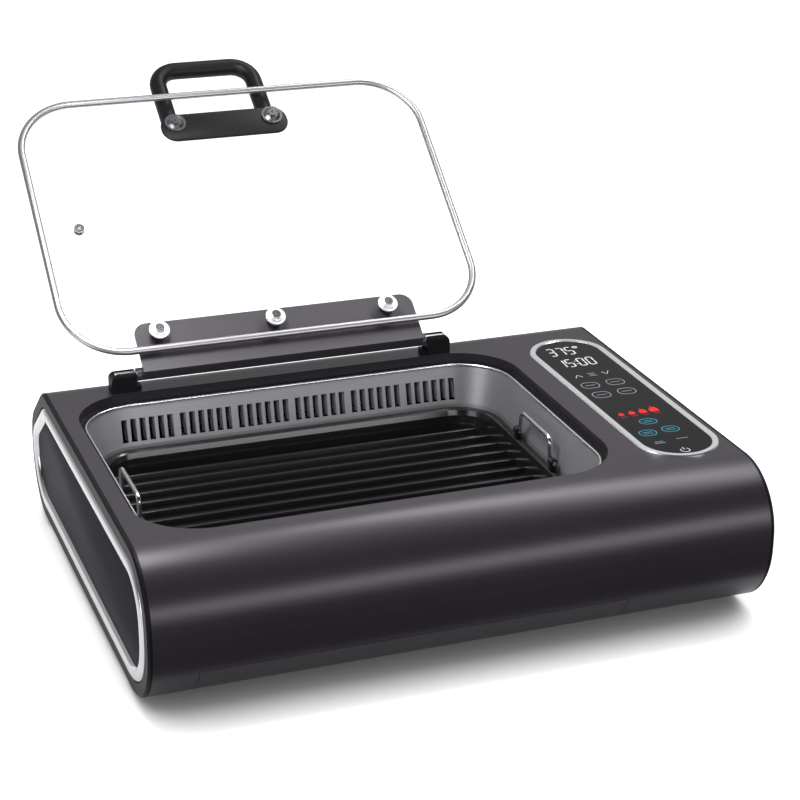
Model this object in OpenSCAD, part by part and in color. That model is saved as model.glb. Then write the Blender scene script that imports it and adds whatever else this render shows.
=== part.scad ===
/* [Housing] */
// Length of the wrapped housing between its two end caps
housing_w = 538; // [500:2:640]
// Depth of the body, front to back
body_d = 460; // [440:2:560]
// Height of the top surface above the worktop
body_h = 138; // [136:1:170]
// Thickness of the housing wall
wall = 3; // [2:0.5:4]
// Radius of the upper front edge
front_top_r = 56; // [40:1:60]
// Radius of the lower front edge
front_bottom_r = 66; // [50:1:66]
// Radius where the flat top turns down at the back
rear_edge_r = 30; // [24:1:36]
// Radius half way down the back
rear_slope_r = 45; // [36:1:50]
// Radius of the lower rear edge
rear_bottom_r = 50; // [40:1:50]
// Length of the slope between the flat top and the back
rear_slope_run = 64; // [64:4:76]
// Height lost over that slope
rear_slope_drop = 48; // [48:3:57]
// Height of the rubber feet under the housing
foot_h = 5; // [2:0.5:5]
// Thickness of an end cap outside the housing
cap_t = 4; // [3:0.5:6]
// Width of the black band between the housing and the bright ring
band_w = 12; // [8:1:14]
// Width of the bright ring
ring_w = 24; // [14:1:26]
// Least corner radius of the bright ring
ring_r = 34; // [30:1:36]
// How far the bright ring stands proud of its cap
ring_proud = 2; // [1:0.5:4]

/* [Cooking well] */
// Housing left of the lid opening
left_margin = 13.5; // [8:0.5:20]
// Housing right of the lid opening, which carries the controls
right_margin = 103.5; // [96:0.5:130]
// Housing in front of the lid opening
front_margin = 64; // [60:1:90]
// Housing behind the lid opening
rear_margin = 94; // [92:1:110]
// Corner radius of the lid opening
opening_r = 58; // [56:1:66]
// Thickness of the steel liner
liner_t = 1.2; // [0.8:0.1:1.5]
// Width of the liner's flange, which the lid rests on
flange_w = 6; // [5:0.5:8]
// How far the liner leans in between its flange and the plate
liner_lean = 9.5; // [6:0.5:11]
// Depth of the plate's rim below the top surface
plate_drop = 48; // [42:1:50]
// Width of one air slot in the liner's back wall
slot_w = 5.4; // [3:0.2:6]
// Spacing of the air slots
slot_pitch = 8.7; // [7.5:0.1:10]
// Height of the air slots
slot_h = 21; // [14:1:21]

/* [Grill plate and basket] */
// Gap between the liner and the plate's rim, and between the liner and the basket
pan_gap = 1.5; // [1:0.1:3]
// Height of the plate's rim above its supporting edge
plate_rim_h = 6; // [5:0.5:8]
// Depth of the plate below its rim's underside
plate_deep = 20; // [18:1:24]
// Thickness of the plate's floor
plate_floor = 4; // [3:0.5:5]
// Height of the searing ridges
ridge_h = 6; // [4:0.5:7]
// Number of searing ridges
ridge_count = 12; // [9:1:14]
// Radius of the drain holes
drain_r = 2.2; // [1.5:0.1:3]
// Thickness of the basket's sheet
sheet = 1.2; // [0.8:0.1:1.5]
// Height of one slot in the basket's long walls
louvre_h = 4.4; // [3:0.2:5]
// Radius of the wire of the bails
wire_r = 2; // [1.5:0.1:2.2]

/* [Lid] */
// Angle of the open lid above the horizontal
lid_open = 37.5; // [30:0.5:60]
// Gap between the lid and its opening
lid_gap = 3; // [2:0.5:4]
// How much rounder the lid is at its corners than its opening
lid_round = 6; // [2:0.5:8]
// Thickness of the glass
glass_t = 4; // [3:0.5:5]
// Width of the steel rim
rim_w = 7; // [6:0.5:9]
// Height of the steel rim
rim_h = 7; // [6.5:0.5:8]
// Height of the hinge axis above the top surface
hinge_rise = 14.5; // [13:0.5:18]
// Distance of the hinge axis behind the lid opening
hinge_back = 7; // [6:0.5:9]
// Distance from the hinge axis to the middle of the glass, across the lid
lid_offset = 19.5; // [19:0.5:21]
// Radius of the hinge rod
rod_r = 4; // [3:0.5:4]
// Radius of the handle's bar
bar_r = 8.5; // [6:0.5:9]
// Distance between the handle's screws
handle_span = 99; // [80:1:120]
// Reach of the handle beyond its screws
handle_reach = 90; // [76:1:96]
// Slope of the handle away from the glass
handle_tilt = 10; // [8:1:20]

/* [Drip tray] */
// Width of the tray's front
tray_front_w = 372; // [300:2:380]
// Height of the tray's front above the worktop
tray_front_h = 44; // [36:1:48]
// Height of the tray
tray_h = 11; // [8:0.5:11]
// Gap round the tray
tray_gap = 0.5; // [0.4:0.1:1]

/* [Control panel] */
// Width of the bright bezel
bezel_w = 76; // [70:1:80]
// Length of the bright bezel
bezel_l = 300; // [240:1:304]
// Width of the bezel's bright edge
bezel_edge = 6; // [4:0.5:7]

/* [Hidden] */
$fn = 64;
slip = 0.3;            // gap between pieces that rest on or slide over each other
fit = 0.1;             // gap round a screw, a pin or a set-in piece
half_w = housing_w / 2;
front_y = -body_d / 2;
rear_y = body_d / 2;

opening_w = housing_w - left_margin - right_margin;
opening_d = body_d - front_margin - rear_margin;
opening_x = (left_margin - right_margin) / 2;
opening_y = (front_margin - rear_margin) / 2;
opening_rear = rear_y - rear_margin;
opening_right = half_w - right_margin;

hinge_y = opening_rear + hinge_back;
hinge_z = body_h + hinge_rise;
lid_w = opening_w - 2 * lid_gap;
lid_d = opening_d - 2 * lid_gap;
lid_near = hinge_back + lid_gap;
glass_in = lid_offset + glass_t / 2;
glass_out = lid_offset - glass_t / 2;
flange_z = hinge_z - lid_offset - rim_h / 2 - slip;
shelf_z = flange_z - liner_t;
slot_z = shelf_z - 12 - slot_h;

plate_z = body_h - plate_drop;
plate_seat = plate_z - plate_rim_h;
plate_bottom = plate_seat - plate_deep;
pan_t = 2;
pan_z = foot_h + wall;
tray_z = pan_z + pan_t + slip;
reflector_z = tray_z + tray_h + 0.7;
reflector_h = 12;
well_floor_z = reflector_z + reflector_h;
basket_z = well_floor_z + liner_t + slip;
element_z = reflector_z + 6.5;
element_r = 3.25;

liner_foot = 2;
well_in = flange_w + liner_lean;
plate_in = well_in + pan_gap;
basket_in = well_in + liner_foot + pan_gap + 1.5;
plate_wall_in = basket_in + sheet + 2.2;
reflector_in = well_in + liner_foot + 4.5;

panel_x = half_w - bezel_w / 2 - 4;
panel_y = opening_y - 1;
gland_z = foot_h + rear_bottom_r + 3;
bracket_from = opening_x - 139;
bracket_to = opening_x + 135;
bracket_reach = 46;
bracket_t = 2;
bracket_n = 11;
block_h = 19;
block_foot = 4.5;
handle_s = lid_near + lid_d - 40.5;
bar_z = glass_out - bar_r - 1.5;
bar_top = [handle_s + handle_reach * cos(handle_tilt), bar_z - handle_reach * sin(handle_tilt)];

wheel_r = 22;
wheel_y = rear_y - 54;
wheel_z = body_h - 60;
wheel_from = opening_x - 115;
wheel_to = opening_x + 115;
shaft_r = 3;

// The frame's origin is on the worktop, under the middle of the whole object with its lid open
lid_back = hinge_y + bar_top[0] * cos(lid_open) - bar_top[1] * sin(lid_open) + bar_r;
frame_y = -(lid_back + front_y) / 2;

// ---------- Outlines: a path is a list of [x, y, radius] corners, anticlockwise ----------

function point(corner) = [corner[0], corner[1]];
function unit(v) = v / norm(v);
function heading(v) = atan2(v[1], v[0]);
function before(path, i) = (i + len(path) - 1) % len(path);
function after(path, i) = (i + 1) % len(path);
function leaving(path, i) = unit(point(path[after(path, i)]) - point(path[i]));
function arriving(path, i) = leaving(path, before(path, i));
function turning(path, i) = acos(arriving(path, i) * leaving(path, i));
function inward(path, i) = unit(leaving(path, i) - arriving(path, i)) / cos(turning(path, i) / 2);
function setback(path, i) = path[i][2] * tan(turning(path, i) / 2);
function centre(path, i) = point(path[i]) + inward(path, i) * path[i][2];
function arc_start(path, i) = point(path[i]) - arriving(path, i) * setback(path, i);
function arc_end(path, i) = point(path[i]) + leaving(path, i) * setback(path, i);
function shrink(path, by) = [
    for (i = [0 : len(path) - 1]) concat(point(path[i]) + inward(path, i) * by, [path[i][2] - by])
];
function rectangle(w, d, r, x = 0, y = 0) = [
    [x + w / 2, y - d / 2, r], [x + w / 2, y + d / 2, r], [x - w / 2, y + d / 2, r], [x - w / 2, y - d / 2, r]
];

body_path = [
    [rear_y, foot_h, rear_bottom_r],
    [rear_y, body_h - rear_slope_drop, rear_slope_r],
    [rear_y - rear_slope_run, body_h, rear_edge_r],
    [front_y, body_h, front_top_r],
    [front_y, foot_h, min(front_bottom_r, (body_h - foot_h) / 2)]
];
opening_path = rectangle(opening_w, opening_d, opening_r, opening_x, opening_y);
panel_path = rectangle(bezel_w, bezel_l, bezel_w / 2, panel_x, panel_y);
lid_path = rectangle(lid_w, lid_d, opening_r - lid_gap + lid_round, opening_x, lid_near + lid_d / 2);
ring_path = [for (c = shrink(body_path, band_w)) [c[0], c[1], max(c[2], ring_r)]];
// How far the ring's face falls to its inner edge
ring_dip = 1.2;
plate_path = shrink(opening_path, plate_in);
basket_path = shrink(opening_path, basket_in);

// The area inside a path
module filled(path) {
    polygon([for (i = [0 : len(path) - 1]) each [arc_start(path, i), arc_end(path, i)]]);
    for (i = [0 : len(path) - 1]) translate(centre(path, i)) circle(path[i][2]);
}

// A profile carried round a path: its x is the distance outwards, its y the height
module sweep(path) {
    for (i = [0 : len(path) - 1]) {
        translate(centre(path, i)) rotate(heading(arriving(path, i)) - 90)
            rotate_extrude(angle = turning(path, i)) translate([path[i][2], 0]) children();
        run = norm(arc_start(path, after(path, i)) - arc_end(path, i));
        if (run > 0.1)
            translate(arc_start(path, after(path, i))) rotate(heading(leaving(path, i)) - 90)
                rotate([90, 0, 0]) linear_extrude(run) children();
    }
}

// A round bar along an open path
module bent_bar(path, r) {
    last = len(path) - 1;
    for (i = [0 : last - 1]) {
        from = i == 0 ? point(path[0]) : arc_end(path, i);
        to = i == last - 1 ? point(path[last]) : arc_start(path, i + 1);
        translate(from) rotate([0, 90, heading(to - from)]) cylinder(h = norm(to - from), r = r);
    }
    for (i = [1 : last - 1]) {
        left = cross(arriving(path, i), leaving(path, i)) > 0;
        translate(centre(path, i)) rotate(heading(arriving(path, i)) + (left ? -90 : 90 - turning(path, i)))
            rotate_extrude(angle = turning(path, i)) translate([path[i][2], 0]) circle(r);
    }
}

// Turns a shape drawn in the end view so that its height lies along the body
module along_x() rotate([90, 0, 90]) children();
module slab(path, z, t) translate([0, 0, z]) linear_extrude(t) filled(path);
module rod_x(x1, x2, y, z, r) translate([x1, y, z]) rotate([0, 90, 0]) cylinder(h = x2 - x1, r = r);
module rod_y(y1, y2, x, z, r) translate([x, y2, z]) rotate([90, 0, 0]) cylinder(h = y2 - y1, r = r);
module box(from, to) translate(from) cube(to - from);
module placed() translate([0, frame_y, 0]) children();

// Pieces of the lid are drawn flat, with y the distance from the hinge and z towards the food
module on_lid() placed() translate([0, hinge_y, hinge_z]) rotate([lid_open, 0, 0]) children();

// ---------- Housing ----------

module wrap(length) along_x() translate([0, 0, -length / 2]) linear_extrude(length) difference() {
    filled(body_path);
    filled(shrink(body_path, wall));
}

module tray_window(gap) {
    x = tray_front_w / 2 - gap;
    box([opening_x - x, front_y - 5, -1], [opening_x + x, front_y + 70 - gap * 20, tray_front_h - gap]);
}

module housing_shell() placed() color("#262527") difference() {
    union() {
        wrap(housing_w);
        slab(shrink(opening_path, -2.5), shelf_z - 3, body_h - shelf_z + 1.5);
    }
    // The lid's recess, with a shelf at its foot that carries the liner
    slab(opening_path, shelf_z, body_h - shelf_z + 1);
    slab(shrink(opening_path, 3.5), shelf_z - 4, 5);
    slab(shrink(panel_path, 1.5), body_h - wall - 1, wall + 2);
    tray_window(0);
    box([-half_w - 1, front_y + 80, 0], [half_w + 1, rear_y - 62, pan_z + 0.5]);
    rear_vents();
    rod_y(rear_y - 20, rear_y + 1, panel_x, gland_z, 8 + fit);
    for (p = hinge_screw_places) translate([p[0], p[1], body_h - 8]) cylinder(h = 12, r = 1.5 + fit);
    for (p = base_screw_places) translate([p[0], p[1], foot_h - 1]) cylinder(h = 5, r = 1.5 + fit);
}

module rear_vents() for (x = [wheel_from + 4 : 8 : wheel_to - 4])
    box([x - 1.75, rear_y - 18, 42], [x + 1.75, rear_y + 1, 74]);

// A plate with the outline of a path and a chamfered outer face
module chamfered_slab(path, z, t, chamfer) hull() {
    slab(path, z, t - chamfer, $fn = 96);
    slab(shrink(path, chamfer), z, t, $fn = 96);
}

module end_cap() along_x() difference() {
    union() {
        chamfered_slab(body_path, half_w, cap_t, 1.6);
        translate([0, 0, half_w - 3]) linear_extrude(3.5) difference() {
            filled(shrink(body_path, wall + slip));
            filled(shrink(body_path, wall + slip + 2));
        }
    }
    slab(shrink(ring_path, -fit), half_w + cap_t - 2.5, 3);
}

module trim_ring() along_x() difference() {
    chamfered_slab(ring_path, half_w + cap_t - 2.5, ring_proud + 2.5, 0.8);
    // The shallow bevel that leads in to the flat panel
    slab(shrink(ring_path, ring_w), half_w, cap_t + ring_proud + 1);
    hull() {
        slab(shrink(ring_path, ring_w), half_w + cap_t + ring_proud - ring_dip, ring_dip + 1, $fn = 96);
        slab(shrink(ring_path, 8), half_w + cap_t + ring_proud, 1, $fn = 96);
    }
}

module side_panel() along_x()
    slab(shrink(ring_path, ring_w + fit), half_w + cap_t - 2.5, 1.7);

module left_end_cap() placed() color("#1d1c1e") mirror([1, 0, 0]) end_cap();
module right_end_cap() placed() color("#1d1c1e") end_cap();
module left_trim_ring() placed() color("#c9cacb") mirror([1, 0, 0]) trim_ring();
module right_trim_ring() placed() color("#c9cacb") trim_ring();
module left_side_panel() placed() color("#3b3a3e") mirror([1, 0, 0]) side_panel();
module right_side_panel() placed() color("#3b3a3e") side_panel();

// ---------- Base ----------

foot_places = [for (x = [-1, 1], y = [front_y + 95, rear_y - 75]) [x * (half_w - 28), y]];
base_screw_places = concat(
    [for (x = [-half_w + 22, half_w - 70, half_w - 22]) [x, front_y + 76]],
    [for (x = [-1, -0.35, 0.35, 1]) [x * (half_w - 22), rear_y - 58]]
);
tray_half = tray_front_w / 2 - 12;
board_at = [panel_x - 10, opening_y - 34];
board_z = element_z + element_r + 2;

module base_pan() placed() color("#39393b") difference() {
    union() {
        box([-half_w + 13, front_y + 72, pan_z], [half_w - 13, rear_y - 52, pan_z + pan_t]);
        // Guides beside the tray and the runners under it
        for (side = [-1, 1]) {
            x = opening_x + side * (tray_half + 2);
            box([x - 1, front_y + 84, pan_z + 1], [x + 1, opening_rear - 30, pan_z + 9]);
        }
        for (p = base_screw_places) translate([p[0], p[1], pan_z + 1]) cylinder(h = 9, r = 4);
        for (x = [-1, 1], y = [-1, 1])
            translate([board_at[0] + x * 32, board_at[1] + y * 80, pan_z + 1]) cylinder(h = board_z - pan_z - 1, r = 3);
    }
    for (p = base_screw_places) translate([p[0], p[1], pan_z - 1]) cylinder(h = 9, r = 1.5 + fit);
    for (p = foot_places) translate([p[0], p[1], pan_z - 1]) cylinder(h = 4, r = 4 + fit);
    // Cooling slots under the electronics
    for (y = [-60 : 12 : 60])
        box([panel_x - 20, opening_y + y - 2, pan_z - 1], [panel_x + 20, opening_y + y + 2, pan_z + pan_t + 1]);
}

module rubber_feet() placed() color("#161617") for (p = foot_places) translate([p[0], p[1], 0]) {
    cylinder(h = pan_z, r = 12);
    cylinder(h = pan_z + pan_t + 0.5, r = 4);
    translate([0, 0, pan_z + pan_t]) cylinder(h = 2, r = 6);
}

module base_screws() placed() color("#a8a9ab") for (p = base_screw_places)
    translate([p[0], p[1], foot_h - 1.5]) {
        cylinder(h = 1.5, r = 3.5);
        cylinder(h = wall + pan_t + 5, r = 1.5);
    }

// ---------- Well ----------

module air_slots(from_y, to_y, z) {
    group = 6 * slot_pitch + 3.5;
    groups = floor((opening_w - 84) / group);
    for (g = [0 : groups - 1], i = [0 : 5]) {
        x = opening_x + (g - groups / 2) * group + i * slot_pitch + (group - 5 * slot_pitch) / 2;
        box([x - slot_w / 2, from_y, z], [x + slot_w / 2, to_y, z + slot_h]);
    }
}

module well_liner() placed() color("#8f9094") difference() {
    knee = plate_z + 2;
    foot = well_in + liner_foot;
    sweep(opening_path) polygon([
        [-0.4, flange_z - liner_t], [-0.4, flange_z], [-flange_w, flange_z], [-well_in, knee],
        [-foot, well_floor_z + liner_t], [-foot - 12, well_floor_z + liner_t],
        [-foot - 12, well_floor_z], [-foot + liner_t, well_floor_z], [-well_in + liner_t, knee],
        [-flange_w + 0.9, flange_z - liner_t]
    ]);
    air_slots(opening_rear - well_in - 4, opening_rear - 2, slot_z);
}

module reflector_pan() placed() color("#a5a7a9") difference() {
    union() {
        sweep(shrink(opening_path, reflector_in)) polygon([
            [0, well_floor_z - 1], [0, well_floor_z], [-7, well_floor_z], [-9, reflector_z + 1],
            [-12, reflector_z + 1], [-12, reflector_z], [-8, reflector_z], [-6, well_floor_z - 1]
        ]);
        slab(shrink(opening_path, reflector_in + 11), reflector_z, 1);
    }
    for (x = [-3 : 3], y = [-1, 0, 1])
        box([opening_x + x * 42 - 15, opening_y + y * 50 - 2.5, reflector_z - 1],
            [opening_x + x * 42 + 15, opening_y + y * 50 + 2.5, reflector_z + 2]);
    for (y = [element_leads[0], element_leads[1], probe_y])
        rod_x(opening_x, opening_right + 5, y, element_z, element_r + 0.8);
}

run_gap = 50;
element_leads = [opening_y - 1.5 * run_gap, opening_y + 1.5 * run_gap];
probe_y = opening_y + run_gap;
element_left = opening_x - opening_w / 2 + reflector_in + 45;
element_right = opening_right - reflector_in - 60;

module hairpin(x, y, side) translate([x, y, element_z]) rotate([0, 0, side * 90 - 90])
    rotate_extrude(angle = 180) translate([run_gap / 2, 0]) circle(element_r);

module heating_element() placed() color("#6f6a66") {
    for (y = element_leads) {
        rod_x(element_left, opening_right + 12, y, element_z, element_r);
        rod_x(opening_right + 11, opening_right + 24, y, element_z, 1.6);
    }
    for (y = [-0.5, 0.5]) rod_x(element_left, element_right, opening_y + y * run_gap, element_z, element_r);
    for (y = [-1, 1]) hairpin(element_left, opening_y + y * run_gap, 2);
    translate([element_right, opening_y, element_z]) rotate(-90)
        rotate_extrude(angle = 180) translate([run_gap / 2, 0]) circle(element_r);
}

module element_clips() placed() color("#b4b5b7") for (x = [0.15, 0.85], y = [-1.5, -0.5, 0.5, 1.5]) {
    at = [element_left + x * (element_right - element_left), opening_y + y * run_gap];
    difference() {
        box([at[0] - 4, at[1] - 7, reflector_z + 1], [at[0] + 4, at[1] + 7, element_z]);
        rod_x(at[0] - 5, at[0] + 5, at[1], element_z, element_r + fit);
    }
}

module temperature_probe() placed() color("#c4c5c6") {
    rod_x(opening_x + 60, opening_right + 5, probe_y, element_z, 2.5);
    rod_x(opening_right + 4, opening_right + 6, probe_y, element_z, 6);
    rod_x(opening_right + 6, opening_right + 16, probe_y, element_z, 2.5);
}

module heat_shield() placed() color("#b0b2b5") difference() {
    x = opening_right + 6;
    union() {
        box([x, opening_y - 140, pan_z + pan_t], [x + 1.2, opening_y + 140, flange_z - 12]);
        box([x, opening_y - 140, pan_z + pan_t], [x + 7, opening_y + 140, pan_z + pan_t + 1.2]);
    }
    for (y = concat(element_leads, [probe_y])) rod_x(x - 1, x + 2, y, element_z, element_r + 0.6);
}

// ---------- Blower that draws smoke through the slots and sends it out of the back ----------

// The duct's outline in the end view, grown by its sheet's thickness or not
module duct(grow) {
    translate([wheel_y, wheel_z]) circle(wheel_r + 4 + grow);
    polygon([
        [opening_rear - 5, slot_z - 1 - grow], [wheel_y - 4, wheel_z - 8 - grow],
        [wheel_y - 4, wheel_z + 22 + grow], [opening_rear - 5, slot_z + slot_h + 1 + grow]
    ]);
    polygon([
        [rear_y - wall - 3, 44 - grow], [rear_y - wall - 3, 72 + grow],
        [wheel_y + 4, wheel_z + 6 + grow], [wheel_y + 4, wheel_z - 24 - grow]
    ]);
}

module blower_housing() placed() color("#5c5d60") along_x() {
    translate([0, 0, wheel_from - 5]) linear_extrude(wheel_to - wheel_from + 10) difference() {
        duct(1.5);
        duct(0);
    }
    for (x = [wheel_from - 6.5, wheel_to + 5]) translate([0, 0, x]) linear_extrude(1.5) difference() {
        union() {
            duct(1.5);
            translate([wheel_y - 10, pan_z + pan_t]) square([20, wheel_z - pan_z - pan_t]);
        }
        translate([wheel_y, wheel_z]) circle(shaft_r + 2.5);
    }
}

module blower_wheel() placed() color("#3f6f8f") along_x() translate([wheel_y, wheel_z, wheel_from]) {
    blades = 28;
    length = wheel_to - wheel_from;
    for (a = [1 : blades]) rotate(a * 360 / blades) translate([wheel_r - 3, 0, 0.5]) rotate(32)
        translate([-2.6, -0.35, 0]) cube([5.2, 0.7, length - 1]);
    for (z = [0, length / 2 - 0.75, length - 1.5]) translate([0, 0, z]) difference() {
        cylinder(h = 1.5, r = wheel_r);
        translate([0, 0, -1]) cylinder(h = 4, r = shaft_r + fit / 2);
    }
}

module wheel_shaft() placed() color("#cfd0d2") rod_x(wheel_from - 14, wheel_to + 36, wheel_y, wheel_z, shaft_r);

module wheel_bearing() placed() color("#b98b4a") difference() {
    union() {
        rod_x(wheel_from - 12, wheel_from - 6.5, wheel_y, wheel_z, 8);
        rod_x(wheel_from - 7, wheel_from - 4.8, wheel_y, wheel_z, shaft_r + 2.5 - fit / 2);
    }
    rod_x(wheel_from - 13, wheel_from - 4, wheel_y, wheel_z, shaft_r + 0.05);
}

module blower_motor() placed() color("#8c8d90") difference() {
    union() {
        rod_x(wheel_to + 6.5, wheel_to + 38, wheel_y, wheel_z, 20);
        rod_x(wheel_to + 38, wheel_to + 42, wheel_y, wheel_z, 8);
    }
    rod_x(wheel_to, wheel_to + 40, wheel_y, wheel_z, shaft_r + 0.05);
}

// ---------- Controls ----------

module control_bezel() placed() color("#d3d4d6") sweep(panel_path) polygon([
    [0, body_h], [-0.8, body_h + 1.2], [1 - bezel_edge, body_h + 1.2], [-bezel_edge, body_h + 0.4],
    [-bezel_edge, body_h - 1.4], [-bezel_edge - 2.5, body_h - 1.4], [-bezel_edge - 2.5, body_h - 2.8],
    [-bezel_edge, body_h - 2.8], [-bezel_edge, body_h - 6.5], [-1.7, body_h - 6.5], [-1.7, body_h]
]);

module control_glass() placed() color("#0c0c0e") slab(shrink(panel_path, bezel_edge + fit), body_h - 1.4, 2);

module touch_board() placed() color("#1f5a38")
    slab(shrink(panel_path, bezel_edge + fit), body_h - 4.6, 1.6);

module display_module() placed() color("#101014")
    box([panel_x - 26, panel_y + 60, body_h - 3], [panel_x + 26, panel_y + 128 - bezel_w / 2 + 22, body_h - 1.6]);

module power_board() placed() color("#2c6b45") translate([board_at[0], board_at[1], board_z]) difference() {
    translate([-37, -90, 0]) cube([74, 180, 1.6]);
    for (x = [-1, 1], y = [-1, 1]) translate([x * 32, y * 80, -1]) cylinder(h = 4, r = 1.6);
}

module board_parts() placed() translate([board_at[0], board_at[1], board_z + 1.6]) {
    color("#c79a3d") translate([-24, -70, 0]) cube([34, 30, 26]);
    color("#2a3f7a") translate([-20, -20, 0]) cube([28, 13, 16]);
    color("#2a3f7a") translate([-20, 0, 0]) cube([28, 13, 16]);
    color("#1a1a1c") translate([20, 10, 0]) cylinder(h = 24, r = 8);
    color("#9da0a3") for (x = [0 : 5]) translate([-26 + x * 7, 36, 0]) cube([2, 26, 22]);
    color("#9da0a3") translate([-26, 36, 0]) cube([37, 26, 3]);
}

module cord_gland() placed() color("#151516") difference() {
    union() {
        rod_y(rear_y - 18, rear_y + 4, panel_x, gland_z, 8);
        rod_y(rear_y + 0.1, rear_y + 3, panel_x, gland_z, 11);
        rod_y(rear_y - wall - 6, rear_y - wall - 1.5, panel_x, gland_z, 11);
    }
    rod_y(rear_y - 20, rear_y + 5, panel_x, gland_z, 3.75);
}

// ---------- Hinge ----------

block_spans = [[opening_x - 168, opening_x - 144.5], [opening_x + 141, opening_x + 164]];
hinge_screw_places = [for (s = block_spans, side = [-1, 1]) [(s[0] + s[1]) / 2 + side * 6, hinge_y + 5]];

// An open-topped cradle with a low inboard foot; inboard is 1 on the left and -1 on the right
module hinge_block(span, inboard) placed() color("#1a1a1c") difference() {
    top = body_h + block_h;
    union() {
        intersection() {
            along_x() slab([
                [hinge_y + 9, body_h - 8, 0.5], [hinge_y + 9, top, 6],
                [hinge_y - 6.5, top, 4], [hinge_y - 6.5, body_h - 8, 0.5]
            ], span[0], span[1] - span[0]);
            // Its outboard shoulder is well rounded
            translate([0, hinge_y + 20, 0]) rotate([90, 0, 0]) linear_extrude(40) filled([
                [span[1], body_h - 9, 0.5], [span[1], top, inboard > 0 ? 1 : 8],
                [span[0], top, inboard > 0 ? 8 : 1], [span[0], body_h - 9, 0.5]
            ]);
        }
        x = inboard > 0 ? span[1] - 0.5 : span[0] - block_foot;
        box([x, hinge_y - 5, body_h - 8], [x + block_foot + 0.5, hinge_y + 7, body_h + 5]);
    }
    along_x() slab(body_path, -half_w, housing_w);
    from = inboard > 0 ? span[0] + 3 : span[0] - 1;
    to = inboard > 0 ? span[1] + 1 : span[1] - 3;
    rod_x(from, to, hinge_y, hinge_z, rod_r + fit);
    box([from, hinge_y - rod_r - fit, hinge_z], [to, hinge_y + rod_r + fit, hinge_z + 20]);
    for (p = hinge_screw_places) translate([p[0], p[1], body_h - 8]) cylinder(h = 13, r = 1.5);
}

module left_hinge_block() hinge_block(block_spans[0], 1);
module right_hinge_block() hinge_block(block_spans[1], -1);

module hinge_block_screws() placed() color("#a8a9ab") for (p = hinge_screw_places)
    translate([p[0], p[1], body_h - wall - 4.2]) {
        cylinder(h = 2.2, r = 3);
        cylinder(h = wall + 7, r = 1.5);
    }

// ---------- Lid ----------

bracket_screws_x = [for (i = [-1, 0, 1]) opening_x - 5.5 + i * 112];
bracket_screws_y = lid_near + 21.5;
handle_screws_x = [opening_x - handle_span / 2, opening_x + handle_span / 2];
vent_at = [opening_x - lid_w / 2 + 40, 153.5];

module at_bracket_screws() for (x = bracket_screws_x) translate([x, bracket_screws_y, 0]) children();
module at_handle_screws() for (x = handle_screws_x) translate([x, handle_s, 0]) children();
module washer(z, h, r, bore) translate([0, 0, z]) difference() {
    cylinder(h = h, r = r);
    translate([0, 0, -1]) cylinder(h = h + 2, r = bore);
}

module lid_glass() on_lid() color("#dfe8ea", 0.3) difference() {
    slab(shrink(lid_path, 3), glass_out, glass_t);
    at_bracket_screws() cylinder(h = 40, r = 3);
    at_handle_screws() cylinder(h = 40, r = 3);
    translate(vent_at) cylinder(h = 40, r = 3.2);
}

module lid_rim() on_lid() color("#b9babc") sweep(lid_path) polygon([
    [-rim_w, lid_offset - rim_h / 2 + 0.6], [0.6 - rim_w, lid_offset - rim_h / 2],
    [-2, lid_offset - rim_h / 2], [-0.6, lid_offset - rim_h / 2 + 0.8], [0, lid_offset - 1.1],
    [0, lid_offset + 1.1], [-0.6, lid_offset + rim_h / 2 - 0.8], [-2, lid_offset + rim_h / 2],
    [0.6 - rim_w, lid_offset + rim_h / 2], [-rim_w, lid_offset + rim_h / 2 - 0.6],
    [-rim_w, glass_in + fit], [-2.8, glass_in + fit], [-2.8, glass_out - fit], [-rim_w, glass_out - fit]
]);

module hinge_bracket() on_lid() color("#232225") difference() {
    union() {
        // Plate behind the glass
        slab([
            [bracket_to, -6, 0.5], [bracket_to, bracket_reach, 12],
            [bracket_from, bracket_reach, 12], [bracket_from, -6, 0.5]
        ], bracket_n, bracket_t);
        box([bracket_from, -6, 0], [bracket_to, -4, bracket_n + 1]);
        rod_x(bracket_from - block_foot, bracket_to + block_foot, 0, 0, rod_r + 2);
    }
    rod_x(bracket_from - 10, bracket_to + 10, 0, 0, rod_r);
    at_bracket_screws() cylinder(h = 40, r = 2.5 + fit);
}

module hinge_rod() on_lid() color("#8d8e91")
    rod_x(block_spans[0][0] + 4, block_spans[1][1] - 4, 0, 0, rod_r);

module bracket_gaskets() on_lid() color("#2a2a2c") at_bracket_screws()
    washer(bracket_n + bracket_t, glass_out - bracket_n - bracket_t, 7, 2.5 + fit);

module bracket_washers() on_lid() color("#e4e5e6") at_bracket_screws() {
    washer(glass_in, 1.6, 9.5, 2.5 + fit);
    washer(glass_in + 1.6, 1.4, 6.5, 2.5 + fit);
}

module bracket_screws() on_lid() color("#d5d6d8") at_bracket_screws() {
    translate([0, 0, bracket_n - 4]) cylinder(h = glass_in + 3 - bracket_n + 4, r = 2.5);
    translate([0, 0, glass_in + 3]) difference() {
        cylinder(h = 2.4, r = 4.3);
        translate([0, 0, 1]) cylinder(h = 2, r = 1.8, $fn = 6);
    }
    translate([0, 0, bracket_n - 3]) cylinder(h = 3, r = 4.5, $fn = 6);
}

module vent_grommet() on_lid() color("#c7c8ca") translate(vent_at) difference() {
    union() {
        translate([0, 0, glass_out - 1]) cylinder(h = glass_t + 2, r = 3.2 - fit);
        translate([0, 0, glass_out - 1]) cylinder(h = 1, r = 4.8);
        translate([0, 0, glass_in]) cylinder(h = 1, r = 4.8);
    }
    cylinder(h = 40, r = 1.5);
}

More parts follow.
